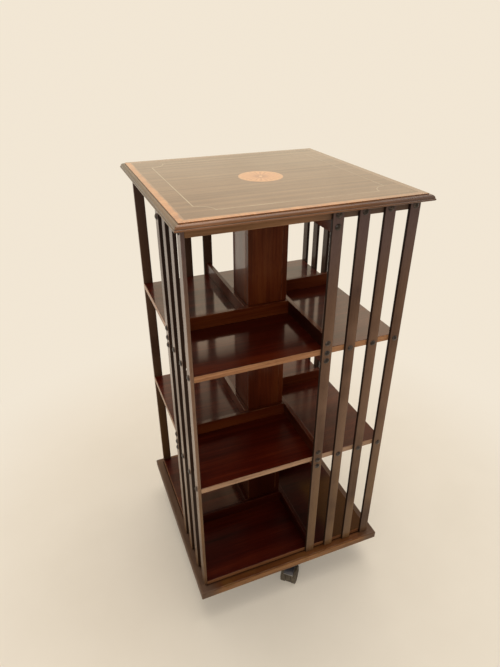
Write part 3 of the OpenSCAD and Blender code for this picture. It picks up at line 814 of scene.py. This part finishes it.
ledge, sunk, lead, crisp, fillet = 1.0 * MM, 0.05 * MM, 0.2 * MM, 0.1 * MM, 0.3 * MM
quirk, ovolo, nick, top_corner = 2.5 * MM, 6.0 * MM, 0.5 * MM, 1.6 * MM
inner = FIELD - BAND
ovolo_x, ovolo_z = FIELD + quirk, TOP_UNDER + 2 * BEAD
bead_x = ovolo_x + ovolo - nick
top_profile = outline(
    corner(0.0, TOP_LEVEL - sunk, 90),
    corner(inner - lead, TOP_LEVEL - sunk, 90),
    corner(inner, TOP_LEVEL - ledge, 90),
    bend(FIELD - crisp, TOP_LEVEL - ledge - crisp, crisp, 90, 0, 2),
    bend(FIELD + fillet, ovolo_z + ovolo + fillet, fillet, 180, 270, 3, hollow=True),
    bend(ovolo_x, ovolo_z, ovolo, 90, 0, 10),
    bend(bead_x, TOP_UNDER + BEAD, BEAD, 90, -90, 10),
    corner(0.0, TOP_UNDER, -90),
)
edge_rows = top_profile[0][:, 0] > inner
piece("top_board_moulded", [round_square(top_profile, top_corner, False, edge_rows)], mahogany_top, "case",
      ["top_board"])

band_arris, band_corner = 0.45 * MM, 1.2 * MM
band_profile = outline(
    corner(inner, TOP_LEVEL - ledge, 180),
    corner(inner, TOP_LEVEL, 90),
    bend(FIELD - band_arris, TOP_LEVEL - band_arris, band_arris, 90, 0, 4),
    corner(FIELD, TOP_LEVEL - ledge, 0),
    corner(inner, TOP_LEVEL - ledge, -90),
)
band_shape = round_square(band_profile, band_corner, True, np.ones(len(band_profile[0]), bool))
band_shape["grain"] = band_shape["grain"][:, [Y, X, Z]]
piece("top_crossbanding_strips", [band_shape], crossband, "case", ["top_crossbanding"])

# Frieze, column, rails and shelves

frieze_arris, column_arris, rail_arris = 1.0 * MM, 0.8 * MM, 1.0 * MM
shelf_arris, shelf_corner = 1.4 * MM, 1.2 * MM
for k, face in enumerate(FACES):
    shapes = [softened(*node_box("frieze_" + face), frieze_arris, (X, Y)[k % 2])]
    piece("frieze_rail_" + face, shapes, mahogany_frieze, "case", ["frieze_" + face])
    shapes = [softened(*node_box("column_board_" + face), column_arris, Z)]
    panel_finish = mahogany_column_left if face == "left" else mahogany_column
    piece("column_panel_" + face, shapes, panel_finish, "case", ["column_board_" + face])

rail_joint = 0.1 * MM
rail_finish = {"upper_stop_rails": mahogany_upper_rail, "lower_stop_rails": mahogany_lower_rail,
               "bottom_stop_rails": mahogany_low}
for node in ("upper_stop_rails", "upper_bearers", "lower_stop_rails", "lower_bearers", "bottom_stop_rails"):
    low, high = node_box(node)
    ends = (COLUMN, low[Y], low[Z]), (COLUMN + RAIL_T, COLUMN - rail_joint, high[Z])
    shapes = [moved(softened(*ends, rail_arris, Y), quarter_turn(k)) for k in range(4)]
    piece(node + "_set", shapes, rail_finish.get(node, mahogany), "case", [node])

for node, finish in (("upper_shelf", mahogany_shelf), ("lower_shelf", mahogany_shelf_dull),
                     ("bottom_shelf", mahogany_floor)):
    low, high = node_box(node)
    nose_x, z0, z1 = high[X] - shelf_arris, low[Z], high[Z]
    shelf_profile = outline(
        corner(COLUMN, z0, -90),
        bend(nose_x, z0 + shelf_arris, shelf_arris, -90, 0, 5),
        bend(nose_x, z1 - shelf_arris, shelf_arris, 0, 90, 5),
        corner(COLUMN, z1, 90),
        corner(COLUMN, z0, 180),
    )
    shelf = round_square([part[::-1] for part in shelf_profile], shelf_corner, True)
    piece(node + "_panel", [shelf], finish, "case", [node])

# Slats and their buttons

low, high = node_box("slats_front")
slats, slat_arris = 4, 1.5 * MM
slat_w = 2 * (COLUMN + RAIL_T / 2 - low[X])
slat_left = [low[X] + i * (high[X] - low[X] - slat_w) / (slats - 1) for i in range(slats)]
for k, face in enumerate(FACES):
    shapes = []
    for x in slat_left:
        slat = softened((x, low[Y], low[Z]), (x + slat_w, high[Y], high[Z]), slat_arris, Z)
        shapes.append(moved(slat, quarter_turn(k)))
    piece("slat_set_" + face, shapes, mahogany_slat, "case", ["slats_" + face])


def middle_height(node):
    """Height of the middle of a CAD node."""
    return (node_box(node)[0][Z] + node_box(node)[1][Z]) / 2


slat_middle = [x + slat_w / 2 for x in slat_left]
board_heights = [middle_height(node) for node in ("frieze_front", "upper_shelf", "lower_shelf")]
rail_heights = [middle_height(node) for node in (
    "upper_stop_rails", "upper_bearers", "lower_stop_rails", "lower_bearers")]
rail_heights.append((node_box("top_rails")[0][Z] + node_box("frieze_front")[0][Z]) / 2)
places = [(x, z) for x in slat_middle for z in board_heights] + [(slat_middle[0], z) for z in rail_heights]
button_r, button_h, button_rim, button_steps = 6.0 * MM, 3.5 * MM, 0.6 * MM, 20
foot_round, rim_round, rim_z, crown_inset = 0.2 * MM, 0.4 * MM, 0.5 * MM, 0.5 * MM
crown_h = button_h - button_rim
crown_r = (button_r ** 2 + crown_h ** 2) / (2 * crown_h)
rise = math.degrees(math.asin((button_r - crown_inset) / crown_r))
button_profile = outline(
    corner(0.0, 0.0, -90),
    bend(button_r - foot_round, foot_round, foot_round, -90, 0, 2),
    bend(button_r - rim_round, rim_z, rim_round, 0, 60, 3),
    bend(0.0, button_h - crown_r, crown_r, 90 - rise, 90, 7),
)
button = turned(button_profile, button_steps)
facing_front = np.array([[1, 0, 0], [0, 0, -1], [0, 1, 0]], float)
shapes = [moved(moved(button, facing_front, (x, low[Y], z)), quarter_turn(k))
          for k in range(4) for x, z in places]
piece("slat_button_set", shapes, button_black, "case", ["slat_buttons"])

# Base board with its rounded nose

low, high = node_box("base_board")
out, z0, z1 = high[X], low[Z], high[Z]
nose_top, nose_under, nose_reach, bush_r, base_corner = 4.0 * MM, 3.0 * MM, 40.0 * MM, 24.0 * MM, 1.8 * MM
base_profile = outline(
    corner(bush_r, z1, 90),
    corner(out - nose_reach, z1, 90),
    bend(out - nose_top, z1 - nose_top, nose_top, 90, 0, 8),
    bend(out - nose_under, z0 + nose_under, nose_under, 0, -90, 8),
    corner(bush_r, z0, -90),
    corner(bush_r, z1, 180),
)
base = round_square(base_profile, base_corner, True, np.ones(len(base_profile[0]), bool))
piece("base_board_rounded", [base], mahogany_base, "case", ["base_board"])

# Castors: a brown bar under each hood closes the gap between the two treads

joint_place = {j["name"]: np.array(j["pos_m"]) for j in frame["joints"]}
tread_r = joint_place["wheel_roll_front_near"][Z]
bar_in, bar_out, bar_half, bar_round = tread_r - 8.0 * MM, tread_r - 1.0 * MM, 6.4 * MM, 1.0 * MM
bar_start, bar_stop = 146, 362
bar_profile = outline(
    bend(bar_out - bar_round, bar_half - bar_round, bar_round, 0, 90, 3),
    bend(bar_in + bar_round, bar_half - bar_round, bar_round, 90, 180, 3),
    bend(bar_in + bar_round, bar_round - bar_half, bar_round, 180, 270, 3),
    bend(bar_out - bar_round, bar_round - bar_half, bar_round, 270, 360, 3),
)
# height of the painted highlight on the hood's edge, above the axle
lip_highlight_rise = 16.4 * MM
lip_highlight_z = tread_r + lip_highlight_rise
up = np.array([0.0, 0.0, 1.0])
finish_of = {}
for face in FACES:
    axle = joint_place["wheel_roll_%s_near" % face]
    ahead = (joint_place["castor_swivel_" + face] - axle) * (1.0, 1.0, 0.0)
    ahead = ahead / np.linalg.norm(ahead)
    bar_frame = np.column_stack([ahead, up, np.cross(ahead, up)])
    bar = moved(bent_bar(bar_profile, bar_start, bar_stop), bar_frame, axle)
    piece("castor_bar_" + face, [bar], wheel_brown, "castor_" + face, [])
    finish_of["castor_hood_" + face] = castor_shell(
        "castor_hood_grey_" + face, (0.040, 0.041, 0.052), (0.088, 0.088, 0.104),
        rough=0.30, scuff=0.15, lip_highlight=(lip_highlight_z, axle, ahead))
    for side in ("near", "far"):
        finish_of["castor_wheel_%s_%s" % (face, side)] = wheel_brown

# Finishes of the solids that show as they are

finish_of.update({
    "top_patera": fan, "top_stringing": stringing, "top_rails": hidden_wood, "bearing_block": hidden_wood,
    "stand_arm_x": stand_wood, "stand_arm_y": stand_wood, "guide_bush": bronze, "thrust_washer": bronze})
for name, node in frame["nodes"].items():
    if not node.hide_render:
        node.data.materials.clear()
        node.data.materials.append(finish_of.get(name, iron))

# Floor and light: polished faces mirror pale sides, a warm top and a dim front

ROOM = (0.887, 0.795, 0.660)
GLOW = (2.25, 1.65, 1.15)
DIM = (0.17, 0.110, 0.050)
AMBER = (1.40, 0.82, 0.36)
OLIVE = (0.880, 0.785, 0.585)
LIT, LIT_STRENGTH = (1.0, 0.96, 0.90), 0.38


def emitted(f, kind, colour, strength=1.0):
    """A surface or background that sends out a colour."""
    return f.node(kind, inputs={"Color": (*colour, 1.0), "Strength": strength})


def mixed(f, share, first, second):
    """Two shaders mixed by share."""
    return f.node("ShaderNodeMixShader", inputs={0: share, 1: first, 2: second})


def pale_stone():
    """Pale, mottled stone under the object that fades into the plain light further out."""
    material, f = new_finish("pale_floor")
    place = f.object_place()
    x, y, _ = f.split(place)
    far = 0.22 + 0.78 * (x * x + y * y).ramp(0.06, 1.3)
    mottle = f.noise(place, scale=3.0, detail=4.0)
    stone = f.ramp_colour(mottle, [(0.35, (0.85, 0.76, 0.62)), (0.65, (0.90, 0.81, 0.67))])
    stone_face = f.node("ShaderNodeBsdfPrincipled", inputs={
        "Base Color": stone, "Roughness": 0.42 + 0.12 * mottle})
    mirrored = f.node("ShaderNodeLightPath", out="Is Glossy Ray") * (0.0 - y).ramp(0.2, 0.9)
    haze = mixed(f, mirrored, *(emitted(f, "ShaderNodeEmission", colour) for colour in (ROOM, DIM)))
    f.node("ShaderNodeOutputMaterial", inputs={"Surface": mixed(f, far, stone_face, haze)})
    return material


def pale_room():
    """The world: a plain pale ground for the camera, an even light for matt faces, and for polished faces
    pale sides with a bright band above them, a warm top and a dim front."""
    world = bpy.data.worlds.new("pale_room")
    world.use_nodes = True
    w = Finish(world.node_tree)
    direct, mirror = (w.node("ShaderNodeLightPath", out=name) for name in ("Is Camera Ray", "Is Glossy Ray"))
    x, y, z = w.split(w.node("ShaderNodeTexCoord", out="Generated"))
    wall, glow, dim, amber, olive = (
        emitted(w, "ShaderNodeBackground", colour) for colour in (ROOM, GLOW, DIM, AMBER, OLIVE))
    lit = emitted(w, "ShaderNodeBackground", LIT, LIT_STRENGTH)
    window = z.ramp(0.37, 0.53) * (1.0 - 0.75 * z.ramp(0.55, 0.66))
    dark_corner = x.ramp(0.24, 0.36) * (0.75 * z.ramp(0.50, 0.60) + 0.25 * z.ramp(0.64, 0.70))
    walls = mixed(w, y.ramp(0.2, 0.5), wall, olive)
    ceiling = mixed(w, z.ramp(0.62, 0.72), walls, amber)
    dim_side = (0.0 - y).ramp(0.05, 0.75).most(dark_corner)
    shown = mixed(w, dim_side, mixed(w, window, ceiling, glow), dim)
    room = mixed(w, direct, mixed(w, mirror, lit, shown), wall)
    w.node("ShaderNodeOutputWorld", inputs={"Surface": room})
    return world


def soft_box(name, place, target, size, energy, colour):
    """A rectangular lamp at a place, turned to a target."""
    data = bpy.data.lights.new(name, "AREA")
    data.shape = "RECTANGLE"
    data.size, data.size_y = size
    data.energy = energy
    data.color = colour
    lamp = bpy.data.objects.new(name, data)
    bpy.context.scene.collection.objects.link(lamp)
    way = np.array(target) - np.array(place)
    lamp.location = place
    lamp.rotation_euler = (math.acos(way[Z] / np.linalg.norm(way)) - math.pi, 0.0,
                           math.atan2(way[Y], way[X]) + math.pi / 2)


scene = bpy.context.scene
scene.view_settings.view_transform = "Standard"
scene.world = pale_room()

# The floor is a disc: p = (r cos a, r sin a, 0), with wider rings further out
rings = np.array([0.0, 0.3, 0.6, 1.2, 2.5, 5.0, 12.0, 40.0])[:, None]
spokes = 48
a = np.arange(spokes) * math.tau / spokes
disc = np.stack(np.broadcast_arrays(rings * np.cos(a), rings * np.sin(a), 0.0), -1).reshape(-1, 3)
kept, welded = weld(disc, grid_faces(len(rings), spokes, False, True), np.zeros(len(disc), int))
mesh = bpy.data.meshes.new("floor")
mesh.from_pydata(disc[kept].tolist(), [], welded)
mesh.materials.append(pale_stone())
floor = bpy.data.objects.new("floor", mesh)
scene.collection.objects.link(floor)

soft_box("window_light", place=(-1.6, -2.6, 2.4), target=(0.0, 0.0, 0.55), size=(2.4, 1.8),
         energy=20.0, colour=(1.0, 0.97, 0.93))
soft_box("ceiling_light", place=(0.3, 0.2, 3.2), target=(0.0, 0.0, 0.9), size=(2.6, 2.6),
         energy=62.0, colour=(1.0, 0.97, 0.92))

# Camera at the photograph's place

CAMERA_PLACE = (-0.4074, -0.9641, 1.2412)
CAMERA_TILT, CAMERA_TURN = 60.0, -21.75
CAMERA_LENS, CAMERA_SENSOR = 27.74, 36.0
data = bpy.data.cameras.new("camera")
data.lens = CAMERA_LENS
data.sensor_width = CAMERA_SENSOR
camera = bpy.data.objects.new("camera", data)
scene.collection.objects.link(camera)
camera.location = CAMERA_PLACE
camera.rotation_euler = (math.radians(CAMERA_TILT), 0.0, math.radians(CAMERA_TURN))
scene.camera = camera
